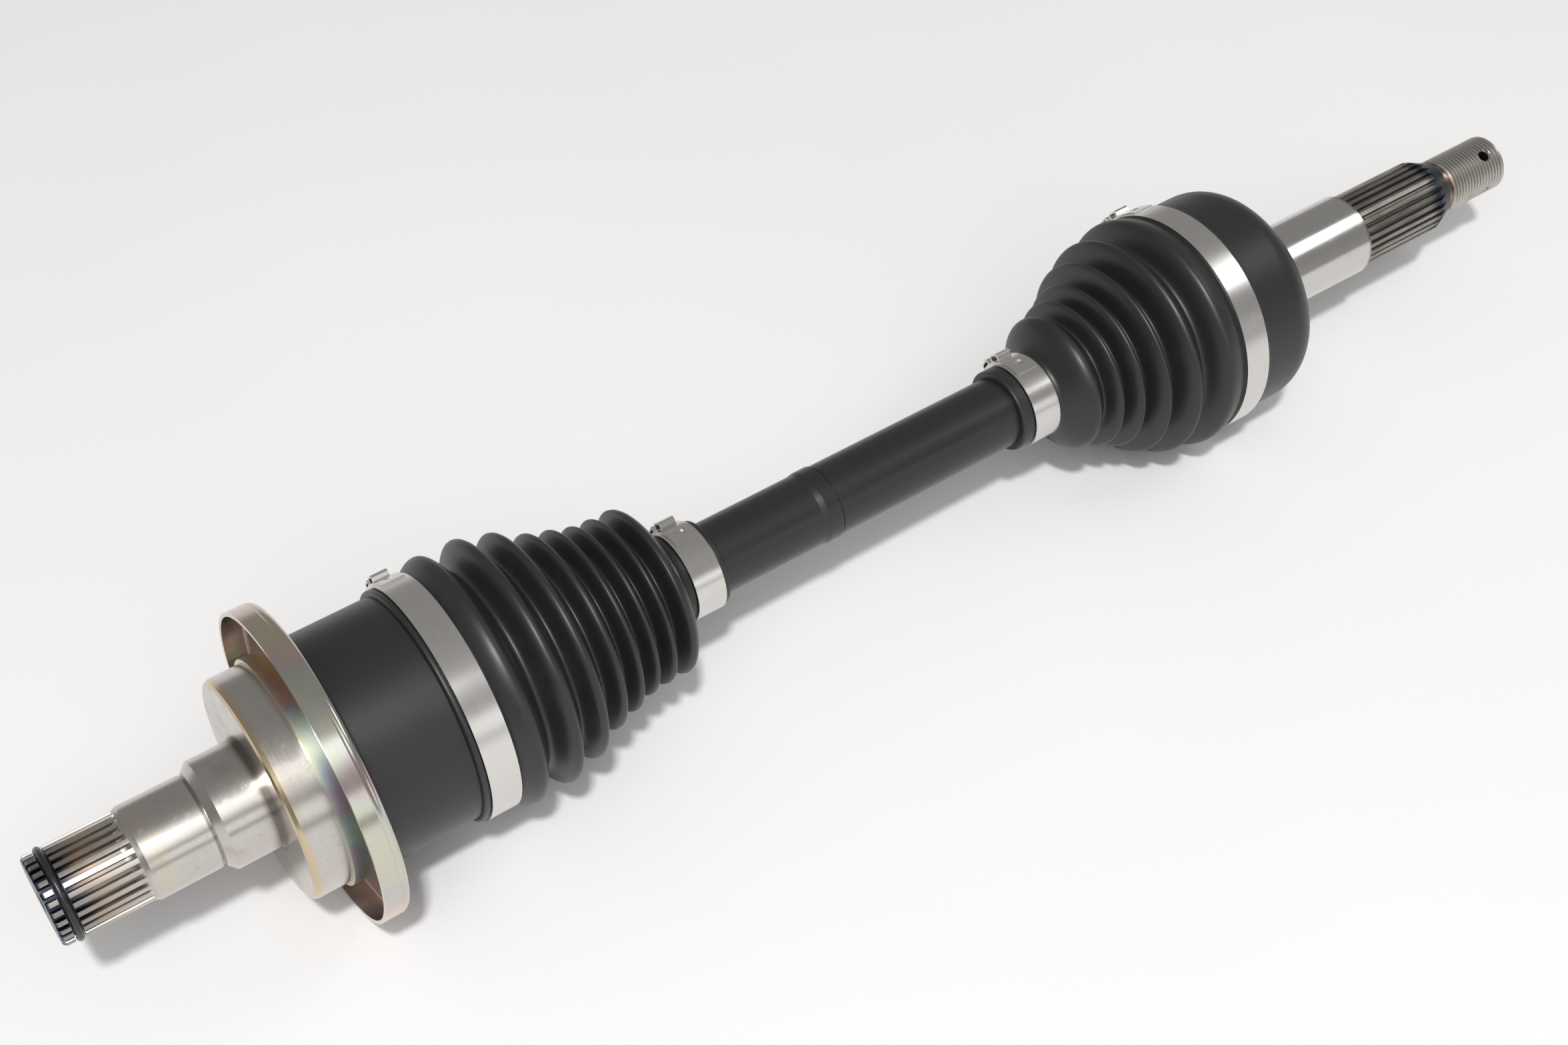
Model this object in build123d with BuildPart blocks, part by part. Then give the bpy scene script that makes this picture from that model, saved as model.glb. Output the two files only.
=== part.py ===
from build123d import *
import os
from math import cos, pi, radians, sin, sqrt

os.makedirs("parts", exist_ok=True)

# CV axle, in millimetres. X runs along the axle from the gearbox end (-X, inboard) to the
# wheel end (+X, outboard), +Z is up, and the origin is on the axis at half the axle's length.

# ---------------------------------------------------------------- driving dimensions
joint_spacing = 305.0            # between the centres of the two joints, straight and at mid travel
joint_ball_count = 6
running_clearance = 0.08         # radial, between surfaces that slide inside the joints
ball_clearance = 0.06            # radial, between a ball and its grooves
window_clearance = 0.03          # between a ball and each side of its cage window, along X
window_side_room = 1.2           # between a ball and each end of its cage window
window_corner = 2.0
ring_gap = 0.05                  # around rings, circlips and cuffs on their seats

# Shaft
shaft_radius = 11.75
shaft_spline_step = 0.55         # the ends that carry the inner races are this much smaller in radius
shaft_spline_run = 6.0           # how far the spline radius runs past each race, towards mid-shaft
shaft_end_length = 3.2           # beyond each race, at the ends of the shaft
shaft_end_chamfer = 0.8
locating_ring_height = 0.4
locating_ring_width = 4.5
locating_ring_ramp = 2.0
locating_ring_offset = 149.8     # its middle, from the inboard joint's centre
locating_ring_relief = 0.2
circlip_thickness = 1.6
circlip_height = 2.4
circlip_seat_depth = 1.1
circlip_gap = 20.0               # degrees

# Inboard joint: balls, cage and race that plunge in a straight-grooved cup
inboard_ball_radius = 7.938
inboard_pitch_radius = 23.2
inboard_cage_radius = 27.5
inboard_cage_wall = 4.9
inboard_cage_width = 24.0
inboard_race_width = 22.0
inboard_swing = 15.0             # degrees each way, about each of two axes
plunge_in = 9.0
plunge_out = 11.0

# Inboard housing, from the mouth of the cup to the tip of the stub
cup_wall = 3.3                   # outside the ball grooves, under the boot's cuff
cup_step = 0.8                   # the painted barrel stands above the cuff seat
cup_mouth_distance = 29.0        # joint centre to mouth
cup_floor_distance = 28.5        # joint centre to the flat bottom of the bore
cup_floor_bevel_length = 4.5
cup_floor_bevel_height = 6.1
cup_edge_chamfer = 1.0
shoulder_distance = 18.5         # joint centre to the shoulder that stops the deflector
boss_length = 21.3
boss_radius = 34.0
boss_edge_radius = 1.6
bearing_journal_radius = 16.6
bearing_journal_length = 16.2
relief_width = 1.0
relief_depth = 0.5
seal_journal_radius = 14.1
seal_journal_length = 18.0
stub_neck_length = 1.5
inboard_spline_radius = 13.4
inboard_spline_length = 19.5
inboard_spline_teeth = 28
spline_depth = 1.15
spline_run_out = 3.0
stop_groove_width = 2.9
stop_ring_wire = 2.1
stop_ring_stand = 0.6            # how far the ring stands above the teeth
stop_ring_gap = 30.0             # degrees
stop_ring_gap_angle = 150.0      # degrees about X, from +Z
stub_tip_length = 3.3
stub_tip_chamfer = 0.9
centre_hole_radius = 3.2
centre_hole_depth = 5.5
retaining_ring_wire = 2.0
retaining_ring_inset = 2.5       # ring centre to mouth
retaining_ring_reach = 0.9       # how far the ring stands into the bore
retaining_ring_gap = 16.0        # degrees

# Dust deflector, pressed on the boss against the shoulder, open towards the gearbox
deflector_sheet = 1.2
deflector_collar_length = 10.2
deflector_radius = 48.5
deflector_lip_length = 8.1
deflector_corner = 2.0
deflector_line_distance = 2.4    # web face to the fine turned line on the lip
deflector_line_depth = 0.25

# Outboard joint: balls, cage and race in a curved-grooved bell
outboard_ball_radius = 7.144
outboard_pitch_radius = 25.5
outboard_cage_radius = 28.9
outboard_cage_wall = 4.7
outboard_cage_width = 22.0
outboard_race_width = 21.0
outboard_swing = 30.0            # degrees each way, about each of two axes

# Outboard housing, from the mouth of the bell to the thread's end
bell_wall = 3.9                  # outside the ball grooves, under the boot's cuff
bell_step = 1.3                  # the painted bell stands above the cuff seat
bell_mouth_distance = 11.0       # joint centre to mouth
bell_mouth_chamfer = 1.5
bell_barrel_distance = 14.0      # joint centre to where the shoulder starts to curve
bell_shoulder_radius = 12.0
bell_shoulder_sweep = 78.0       # degrees
bell_floor_distance = 23.4       # joint centre to the flat bottom of the cavity
bell_face_distance = 27.2        # joint centre to the foot of the boss
bell_boss_radius = 19.5
bell_boss_length = 6.3
bell_boss_fillet = 1.4
bell_boss_chamfer = 0.6
hub_journal_radius = 14.45
hub_journal_length = 38.8
hub_spline_radius = 13.17
hub_spline_length = 37.2
hub_spline_taper = 7.0
hub_spline_end_radius = 10.3
hub_spline_teeth = 27
hub_spline_depth = 1.05
thread_neck_radius = 9.1
thread_neck_length = 2.6
thread_radius = 10.0             # M20 x 1.5
thread_pitch = 1.5
thread_length = 26.6
thread_chamfer = 1.2
pin_hole_radius = 2.0
pin_hole_inset = 7.6             # from the thread's end
pin_hole_mouth_radius = 2.85
pin_hole_mouth_depth = 0.9
pin_hole_angle = 25.0            # degrees about X, from +Z

# Boots: closed bellows between a large cuff on a housing and a small cuff on the shaft.
# Stations are measured from the large cuff's open end, heights from the large cuff's seat.
boot_wall = 2.0
wave_fullness = 0.6              # roundness of the crests and valleys
cuff_thickness = 1.9
cuff_lip = 2.0                   # rubber that shows beyond the large clamp
small_cuff_thickness = 1.65
small_cuff_lip_thickness = 2.1
inboard_cuff_overlap = 18.0      # cuff's open end to the housing's mouth
inboard_crests = [(17.5, 5.2), (29.8, 4.9), (40.0, 2.2), (49.3, -2.4),
                  (56.5, -4.6), (63.2, -6.6), (69.5, -7.2), (76.3, -7.3)]
inboard_valleys = [(23.6, -1.9), (35.0, -3.6), (45.0, -7.6), (53.2, -10.0),
                   (60.1, -12.0), (66.6, -13.2), (73.1, -13.7)]
inboard_neck_station = 84.0
inboard_small_clamp_inset = 2.0  # neck to clamp
inboard_small_cuff_lip = 2.0
outboard_cuff_overlap = 12.0
outboard_crests = [(18.5, 3.9), (30.5, 1.4), (39.5, -2.7), (46.2, -7.7), (52.5, -10.8), (60.2, -13.3)]
outboard_valleys = [(24.6, -4.0), (35.4, -7.9), (43.0, -11.6), (49.4, -14.8), (55.6, -16.8)]
outboard_neck_station = 68.4
outboard_small_clamp_inset = 1.0
outboard_small_cuff_lip = 4.5

# Clamps: stainless bands whose overlapped end carries two raised bridges and a square slot
clamp_band = 1.0
large_clamp_width = 9.4
small_clamp_width = 9.8
clamp_strap = 0.6
clamp_strap_inset = 1.0          # each side of the band
clamp_strap_before = 9.0         # arc lengths from the bridges' middle to the strap's ends
clamp_strap_after = 17.0
clamp_bridge_angle = -58.0       # degrees about X, from +Z
clamp_bridge_spacing = 6.6
clamp_bridge_length = 4.6
clamp_bridge_height = 2.2
clamp_bridge_width = 5.2
clamp_slot = 2.6
clamp_slot_distance = 12.5       # arc length from the bridges' middle

# ---------------------------------------------------------------- stations along X
shoulder_to_tip = (boss_length + bearing_journal_length + relief_width + seal_journal_length
                   + stub_neck_length + inboard_spline_length + stop_groove_width + stub_tip_length)
inboard_reach = shoulder_distance + shoulder_to_tip
outboard_reach = (bell_face_distance + bell_boss_length + hub_journal_length + hub_spline_length
                  + hub_spline_taper + thread_neck_length + thread_length)
overall_length = inboard_reach + joint_spacing + outboard_reach

tip_x = -overall_length / 2
stop_groove_x = tip_x + stub_tip_length
inboard_spline_x = stop_groove_x + stop_groove_width
stub_neck_x = inboard_spline_x + inboard_spline_length
seal_journal_x = stub_neck_x + stub_neck_length
relief_x = seal_journal_x + seal_journal_length
bearing_journal_x = relief_x + relief_width
boss_x = bearing_journal_x + bearing_journal_length
shoulder_x = boss_x + boss_length
inboard_x = shoulder_x + shoulder_distance
cup_mouth_x = inboard_x + cup_mouth_distance
cup_floor_x = inboard_x - cup_floor_distance
inboard_boot_x = cup_mouth_x - inboard_cuff_overlap
outboard_x = inboard_x + joint_spacing
bell_mouth_x = outboard_x - bell_mouth_distance
bell_floor_x = outboard_x + bell_floor_distance
bell_face_x = outboard_x + bell_face_distance
outboard_boot_x = bell_mouth_x + outboard_cuff_overlap
hub_journal_x = bell_face_x + bell_boss_length
hub_spline_x = hub_journal_x + hub_journal_length
hub_taper_x = hub_spline_x + hub_spline_length
thread_neck_x = hub_taper_x + hub_spline_taper
thread_x = thread_neck_x + thread_neck_length
thread_end_x = thread_x + thread_length

# ---------------------------------------------------------------- radii that follow from the rest
cup_bore_radius = inboard_cage_radius + running_clearance
cup_seat_radius = inboard_pitch_radius + inboard_ball_radius + cup_wall
cup_radius = cup_seat_radius + cup_step
stop_groove_radius = inboard_spline_radius + stop_ring_stand - stop_ring_wire - ring_gap
inboard_race_radius = inboard_cage_radius - inboard_cage_wall - running_clearance
bell_bore_radius = outboard_cage_radius + running_clearance
bell_seat_radius = outboard_pitch_radius + outboard_ball_radius + bell_wall
bell_radius = bell_seat_radius + bell_step
outboard_race_radius = outboard_cage_radius - outboard_cage_wall - running_clearance
shaft_spline_radius = shaft_radius - shaft_spline_step
race_bore_radius = shaft_spline_radius + ring_gap
ball_angles = [360 * index / joint_ball_count for index in range(joint_ball_count)]  # about X, from +Z
circlip_seat_radius = shaft_spline_radius - circlip_seat_depth


# ---------------------------------------------------------------- shared outlines and cuts
def turned(points, mode=Mode.ADD):
    """Turn an outline of (x, radius) corners about the axle's axis."""
    with BuildSketch(Plane.XY) as outline:
        with BuildLine():
            Polyline(*points, close=True)
        make_face()
    revolve(outline.sketch, axis=Axis.X, mode=mode)


def wire_ring(x, centre_radius, wire_diameter, open_angle, middle):
    """A round-wire ring about the axle's axis, with its gap centred on `middle` degrees from +Z."""
    start = radians(middle + open_angle / 2)
    across = (0, -sin(start), cos(start))
    with BuildSketch(Plane(origin=(x, 0, 0), x_dir=across, z_dir=(0, cos(start), sin(start)))) as section:
        with Locations((centre_radius, 0)):
            Circle(wire_diameter / 2)
    revolve(section.sketch, axis=Axis.X, revolution_arc=360 - open_angle)


def flat_ring(x, width, inner, outer, open_angle, middle):
    """A rectangular-section circlip about the axle's axis, with its gap centred on `middle`."""
    start = radians(middle + open_angle / 2)
    across = (0, -sin(start), cos(start))
    with BuildSketch(Plane(origin=(x, 0, 0), x_dir=across, z_dir=(0, cos(start), sin(start)))) as section:
        with Locations(((inner + outer) / 2, 0)):
            Rectangle(outer - inner, width)
    revolve(section.sketch, axis=Axis.X, revolution_arc=360 - open_angle)


def groove_about_y(centre_x, pitch_radius, radius, swing, angles):
    """Cut the space that balls sweep when their cage turns `swing` degrees each way about Y."""
    middle = (centre_x, 0, 0)
    start = radians(-swing)
    out = (sin(start), 0, cos(start))
    spots = [(pitch_radius * cos(radians(a)), pitch_radius * sin(radians(a))) for a in angles]
    with BuildSketch(Plane(origin=middle, x_dir=out, z_dir=(-cos(start), 0, sin(start)))) as sections:
        with Locations(*spots):
            Circle(radius)
    revolve(sections.sketch, axis=Axis(middle, (0, 1, 0)), revolution_arc=2 * swing, mode=Mode.SUBTRACT)
    for turn in (-swing, swing):
        ends = [(centre_x + up * sin(radians(turn)), side, up * cos(radians(turn))) for up, side in spots]
        with Locations(*ends):
            Sphere(radius, mode=Mode.SUBTRACT)


def groove_about_z(centre_x, pitch_radius, radius, swing, angles):
    """Cut the space that balls sweep when their cage turns `swing` degrees each way about Z."""
    middle = (centre_x, 0, 0)
    start = radians(-swing)
    out = (-sin(start), cos(start), 0)
    spots = [(pitch_radius * sin(radians(a)), pitch_radius * cos(radians(a))) for a in angles]
    with BuildSketch(Plane(origin=middle, x_dir=out, z_dir=(cos(start), sin(start), 0))) as sections:
        with Locations(*spots):
            Circle(radius)
    revolve(sections.sketch, axis=Axis(middle, (0, 0, 1)), revolution_arc=2 * swing, mode=Mode.SUBTRACT)
    for turn in (-swing, swing):
        ends = [(centre_x - side * sin(radians(turn)), side * cos(radians(turn)), up) for side, up in spots]
        with Locations(*ends):
            Sphere(radius, mode=Mode.SUBTRACT)


def spline_grooves(open_x, closed_x, run_out, radius, depth, teeth):
    """Straight spline grooves from an open end to a closed end, where the floor curves up to the surface."""
    toward = 1 if closed_x > open_x else -1
    pitch = 2 * pi * radius / teeth
    half_floor = 0.14 * pitch
    half_top = 0.27 * pitch
    half_over = 2 * half_top - half_floor
    with BuildSketch(Plane.YZ.offset(min(open_x, closed_x))) as grooves:
        with PolarLocations(0, teeth):
            Polygon((radius - depth, -half_floor), (radius + depth, -half_over),
                    (radius + depth, half_over), (radius - depth, half_floor), align=None)
    extrude(grooves.sketch, amount=abs(closed_x - open_x))
    floor = radius - depth
    curve_x = closed_x - toward * run_out
    with BuildSketch(Plane.XY) as reach:
        with BuildLine():
            Line((open_x, floor), (curve_x, floor))
            TangentArc((curve_x, floor), (closed_x, radius), tangent=(toward, 0))
            Polyline((closed_x, radius), (closed_x, radius + 2 * depth), (open_x, radius + 2 * depth),
                     (open_x, floor))
        make_face()
    revolve(reach.sketch, axis=Axis.X, mode=Mode.INTERSECT)


def ball_places(centre_x, pitch_radius):
    """Centres of a joint's balls."""
    return [(centre_x, pitch_radius * sin(radians(a)), pitch_radius * cos(radians(a))) for a in ball_angles]


def cage(centre_x, radius, wall, width, ball_radius):
    """A spherical cage with one window for each ball."""
    with Locations((centre_x, 0, 0)):
        Sphere(radius)
        Sphere(radius - wall, mode=Mode.SUBTRACT)
        Box(width, 4 * radius, 4 * radius, mode=Mode.INTERSECT)
    for angle in ball_angles:
        out = (0, sin(radians(angle)), cos(radians(angle)))
        with BuildSketch(Plane(origin=(centre_x, 0, 0), x_dir=(1, 0, 0), z_dir=out)) as window:
            RectangleRounded(2 * (ball_radius + window_clearance), 2 * (ball_radius + window_side_room),
                             window_corner)
        extrude(window.sketch, amount=2 * radius, mode=Mode.SUBTRACT)


def race(centre_x, radius, width, pitch_radius, ball_radius, swing):
    """A spherical inner race with grooves that its balls follow when the shaft swings about Y."""
    with Locations((centre_x, 0, 0)):
        Sphere(radius)
        Box(width, 4 * radius, 4 * radius, mode=Mode.INTERSECT)
        Cylinder(race_bore_radius, 2 * width, rotation=(0, 90, 0), mode=Mode.SUBTRACT)
    groove_about_y(centre_x, pitch_radius, ball_radius + ball_clearance, swing, ball_angles)


def boot(open_x, toward, seat, crests, valleys, neck, small_clamp_inset, small_lip):
    """A closed bellows from its large cuff's open end, towards +X or -X, to its small cuff's end."""
    cuff_end = cuff_lip + large_clamp_width + 2 * ring_gap
    waves = sorted(crests + valleys)
    small_seat = shaft_radius + small_cuff_thickness
    lip_station = neck + small_clamp_inset + small_clamp_width + 2 * ring_gap
    end_station = lip_station + small_lip
    outer = [(cuff_end, seat + cuff_thickness)]
    outer += [(station, seat + height) for station, height in waves]
    outer += [(neck, small_seat)]
    inner = [(cuff_end, seat + ring_gap)]
    inner += [(station, seat + height - boot_wall) for station, height in waves]
    inner += [(neck, shaft_radius + ring_gap)]
    outer = [(open_x + toward * station, radius) for station, radius in outer]
    inner = [(open_x + toward * station, radius) for station, radius in inner]
    lip_x = open_x + toward * lip_station
    end_x = open_x + toward * end_station
    along = [(toward, 0)] * len(outer)
    fullness = [wave_fullness] * len(outer)
    with BuildSketch(Plane.XY) as section:
        with BuildLine():
            Polyline(inner[0], (open_x, seat + ring_gap), (open_x, seat + cuff_thickness), outer[0])
            Spline(*outer, tangents=along, tangent_scalars=fullness)
            Polyline(outer[-1], (lip_x, small_seat), (lip_x, shaft_radius + small_cuff_lip_thickness),
                     (end_x, shaft_radius + small_cuff_lip_thickness), (end_x, shaft_radius + ring_gap),
                     inner[-1])
            Spline(*inner, tangents=along, tangent_scalars=fullness)
        make_face()
    revolve(section.sketch, axis=Axis.X)


def clamp(first_x, width, bore):
    """A band clamp from first_x towards +X, with its strap, bridges and slot."""
    band = bore + clamp_band
    strap = band + clamp_strap
    per_mm = 180 / (pi * strap)
    turned([(first_x, bore), (first_x, band), (first_x + width, band), (first_x + width, bore)])
    begin = radians(clamp_bridge_angle - clamp_strap_before * per_mm)
    n_begin = (0, -sin(begin), cos(begin))
    with BuildSketch(Plane(origin=(first_x + width / 2, 0, 0), x_dir=n_begin,
                           z_dir=(0, cos(begin), sin(begin)))) as section:
        with Locations(((bore + strap) / 2, 0)):
            Rectangle(strap - bore, width - 2 * clamp_strap_inset)
    revolve(section.sketch, axis=Axis.X, revolution_arc=(clamp_strap_before + clamp_strap_after) * per_mm)
    for place in (-clamp_bridge_spacing / 2, clamp_bridge_spacing / 2):
        angle = radians(clamp_bridge_angle + place * per_mm)
        foot = strap - clamp_strap
        origin = (first_x + (width - clamp_bridge_width) / 2, -foot * sin(angle), foot * cos(angle))
        with BuildSketch(Plane(origin=origin, x_dir=(0, cos(angle), sin(angle)), z_dir=(1, 0, 0))) as arch:
            tall = clamp_bridge_height + clamp_strap
            with Locations((0, tall / 2)):
                RectangleRounded(clamp_bridge_length, tall, 0.9)
            with Locations((0, clamp_strap + 0.1 + (tall - 2 * clamp_strap - 0.1) / 2)):
                RectangleRounded(clamp_bridge_length - 2 * clamp_strap, tall - 2 * clamp_strap - 0.1, 0.5,
                                 mode=Mode.SUBTRACT)
        extrude(arch.sketch, amount=clamp_bridge_width)
    slot = radians(clamp_bridge_angle + clamp_slot_distance * per_mm)
    slot_n = (0, -sin(slot), cos(slot))
    slot_origin = (first_x + width / 2, -band * sin(slot), band * cos(slot))
    with BuildSketch(Plane(origin=slot_origin, x_dir=(1, 0, 0), z_dir=slot_n)) as opening:
        Rectangle(clamp_slot, clamp_slot)
    extrude(opening.sketch, amount=2 * clamp_strap, mode=Mode.SUBTRACT)


# ---------------------------------------------------------------- inboard housing
with BuildPart() as inboard_spline_cut:
    spline_grooves(tip_x - 1, stub_neck_x, spline_run_out, inboard_spline_radius, spline_depth,
                   inboard_spline_teeth)

bearing_step = bearing_journal_radius - seal_journal_radius
retaining_ring_centre_radius = cup_bore_radius - retaining_ring_reach + retaining_ring_wire / 2
retaining_ring_x = cup_mouth_x - retaining_ring_inset
retaining_seat = retaining_ring_wire / 2 + ring_gap
with BuildPart() as inboard_housing:
    turned([
        (tip_x + centre_hole_depth, 0),
        (tip_x, centre_hole_radius),
        (tip_x, inboard_spline_radius - stub_tip_chamfer),
        (tip_x + stub_tip_chamfer, inboard_spline_radius),
        (stop_groove_x, inboard_spline_radius),
        (stop_groove_x, stop_groove_radius),
        (inboard_spline_x, stop_groove_radius),
        (inboard_spline_x, inboard_spline_radius),
        (stub_neck_x, inboard_spline_radius),
        (seal_journal_x, seal_journal_radius),
        (relief_x, seal_journal_radius),
        (relief_x, seal_journal_radius - relief_depth),
        (bearing_journal_x, seal_journal_radius - relief_depth),
        (bearing_journal_x, seal_journal_radius),
        (bearing_journal_x + bearing_step, bearing_journal_radius),
        (boss_x - relief_width, bearing_journal_radius),
        (boss_x - relief_width, bearing_journal_radius + relief_depth),
        (boss_x, bearing_journal_radius + relief_depth),
        (boss_x, boss_radius - boss_edge_radius),
        (boss_x + boss_edge_radius / 3, boss_radius - boss_edge_radius / 3),
        (boss_x + boss_edge_radius, boss_radius),
        (shoulder_x, boss_radius),
        (shoulder_x, cup_radius),
        (inboard_boot_x - ring_gap, cup_radius),
        (inboard_boot_x - ring_gap, cup_seat_radius),
        (cup_mouth_x - cup_edge_chamfer, cup_seat_radius),
        (cup_mouth_x, cup_seat_radius - cup_edge_chamfer),
        (cup_mouth_x, 0),
    ])
    turned([
        (cup_floor_x, 0),
        (cup_floor_x, cup_bore_radius - cup_floor_bevel_height),
        (cup_floor_x + cup_floor_bevel_length, cup_bore_radius),
        (cup_mouth_x - cup_edge_chamfer, cup_bore_radius),
        (cup_mouth_x + cup_edge_chamfer, cup_bore_radius + 2 * cup_edge_chamfer),
        (cup_mouth_x + cup_edge_chamfer, 0),
    ], mode=Mode.SUBTRACT)
    # Six straight ball grooves. The four off the Z axis are wider, because the cage turns about Z.
    groove_radius = inboard_ball_radius + ball_clearance
    upright = inboard_pitch_radius * cos(radians(60))
    far = inboard_pitch_radius * sin(radians(60))
    near = far * cos(radians(inboard_swing))
    middle = (near + far) / 2
    groove_x = inboard_x - plunge_in - inboard_ball_radius - far * sin(radians(inboard_swing)) - ring_gap
    with BuildSketch(Plane.YZ.offset(groove_x)):
        with Locations((0, inboard_pitch_radius), (0, -inboard_pitch_radius)):
            Circle(groove_radius)
        with Locations((middle, upright), (-middle, upright), (middle, -upright), (-middle, -upright)):
            SlotCenterToCenter(far - near, 2 * groove_radius)
    extrude(amount=cup_mouth_x - groove_x, mode=Mode.SUBTRACT)
    turned([
        (retaining_ring_x - retaining_seat, cup_bore_radius - 1),
        (retaining_ring_x - retaining_seat, retaining_ring_centre_radius + retaining_seat),
        (retaining_ring_x + retaining_seat, retaining_ring_centre_radius + retaining_seat),
        (retaining_ring_x + retaining_seat, cup_bore_radius - 1),
    ], mode=Mode.SUBTRACT)
    add(inboard_spline_cut.part, mode=Mode.SUBTRACT)
inboard_housing.part.label = "inboard_housing"
export_step(inboard_housing.part, "parts/inboard_housing.step")

with BuildPart() as inboard_stop_ring:
    wire_ring((stop_groove_x + inboard_spline_x) / 2,
              inboard_spline_radius + stop_ring_stand - stop_ring_wire / 2,
              stop_ring_wire, stop_ring_gap, stop_ring_gap_angle)
inboard_stop_ring.part.label = "inboard_stop_ring"
export_step(inboard_stop_ring.part, "parts/inboard_stop_ring.step")

with BuildPart() as inboard_retaining_ring:
    wire_ring(retaining_ring_x, retaining_ring_centre_radius, retaining_ring_wire, retaining_ring_gap, 180)
inboard_retaining_ring.part.label = "inboard_retaining_ring"
export_step(inboard_retaining_ring.part, "parts/inboard_retaining_ring.step")

# ---------------------------------------------------------------- dust deflector
collar_bore = boss_radius + ring_gap
collar_radius = collar_bore + deflector_sheet
rim_x = shoulder_x - deflector_lip_length
inner_lip_radius = deflector_radius - deflector_sheet
inner_corner = deflector_corner - deflector_sheet
web_x = shoulder_x - deflector_sheet
line_x = shoulder_x - deflector_line_distance
with BuildPart() as dust_deflector:
    with BuildSketch(Plane.XY):
        with BuildLine():
            Polyline((shoulder_x - deflector_collar_length, collar_bore), (shoulder_x, collar_bore),
                     (shoulder_x, deflector_radius - deflector_corner))
            RadiusArc((shoulder_x, deflector_radius - deflector_corner),
                      (shoulder_x - deflector_corner, deflector_radius), -deflector_corner)
            Polyline((shoulder_x - deflector_corner, deflector_radius), (rim_x, deflector_radius),
                     (rim_x, inner_lip_radius), (web_x - inner_corner, inner_lip_radius))
            RadiusArc((web_x - inner_corner, inner_lip_radius), (web_x, inner_lip_radius - inner_corner),
                      inner_corner)
            Polyline((web_x, inner_lip_radius - inner_corner), (web_x, collar_radius + deflector_corner))
            RadiusArc((web_x, collar_radius + deflector_corner), (web_x - deflector_corner, collar_radius),
                      deflector_corner)
            Polyline((web_x - deflector_corner, collar_radius),
                     (shoulder_x - deflector_collar_length, collar_radius),
                     (shoulder_x - deflector_collar_length, collar_bore))
        make_face()
    revolve(axis=Axis.X)
    turned([
        (line_x - 2 * deflector_line_depth, deflector_radius),
        (line_x, deflector_radius - deflector_line_depth),
        (line_x + 2 * deflector_line_depth, deflector_radius),
        (line_x, deflector_radius + deflector_line_depth),
    ], mode=Mode.SUBTRACT)
dust_deflector.part.label = "dust_deflector"
export_step(dust_deflector.part, "parts/dust_deflector.step")

# ---------------------------------------------------------------- cages, races and balls
with BuildPart() as inboard_cage:
    cage(inboard_x, inboard_cage_radius, inboard_cage_wall, inboard_cage_width, inboard_ball_radius)
inboard_cage.part.label = "inboard_cage"
export_step(inboard_cage.part, "parts/inboard_cage.step")

with BuildPart() as outboard_cage:
    cage(outboard_x, outboard_cage_radius, outboard_cage_wall, outboard_cage_width, outboard_ball_radius)
outboard_cage.part.label = "outboard_cage"
export_step(outboard_cage.part, "parts/outboard_cage.step")

with BuildPart() as inboard_inner_race:
    race(inboard_x, inboard_race_radius, inboard_race_width, inboard_pitch_radius, inboard_ball_radius,
         inboard_swing)
inboard_inner_race.part.label = "inboard_inner_race"
export_step(inboard_inner_race.part, "parts/inboard_inner_race.step")

with BuildPart() as outboard_inner_race:
    race(outboard_x, outboard_race_radius, outboard_race_width, outboard_pitch_radius,
         outboard_ball_radius, outboard_swing)
outboard_inner_race.part.label = "outboard_inner_race"
export_step(outboard_inner_race.part, "parts/outboard_inner_race.step")

for number, place in enumerate(ball_places(inboard_x, inboard_pitch_radius), 1):
    with BuildPart() as inboard_ball:
        with Locations(place):
            Sphere(inboard_ball_radius)
    inboard_ball.part.label = f"inboard_ball_{number}"
    export_step(inboard_ball.part, f"parts/inboard_ball_{number}.step")

for number, place in enumerate(ball_places(outboard_x, outboard_pitch_radius), 1):
    with BuildPart() as outboard_ball:
        with Locations(place):
            Sphere(outboard_ball_radius)
    outboard_ball.part.label = f"outboard_ball_{number}"
    export_step(outboard_ball.part, f"parts/outboard_ball_{number}.step")

# ---------------------------------------------------------------- shaft and its circlips
inboard_circlip_offset = inboard_race_width / 2 + ring_gap + circlip_thickness / 2
outboard_circlip_offset = outboard_race_width / 2 + ring_gap + circlip_thickness / 2
circlip_places = {
    "inboard_race_circlip_1": inboard_x - inboard_circlip_offset,
    "inboard_race_circlip_2": inboard_x + inboard_circlip_offset,
    "outboard_race_circlip_1": outboard_x - outboard_circlip_offset,
    "outboard_race_circlip_2": outboard_x + outboard_circlip_offset,
}
shaft_start_x = inboard_x - inboard_race_width / 2 - shaft_end_length
shaft_stop_x = outboard_x + outboard_race_width / 2 + shaft_end_length
inboard_root_x = inboard_x + inboard_race_width / 2 + shaft_spline_run
outboard_root_x = outboard_x - outboard_race_width / 2 - shaft_spline_run
ring_x = inboard_x + locating_ring_offset - locating_ring_width / 2
locating_ring_radius = shaft_radius + locating_ring_height
ring_stop_x = ring_x + locating_ring_width
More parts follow.
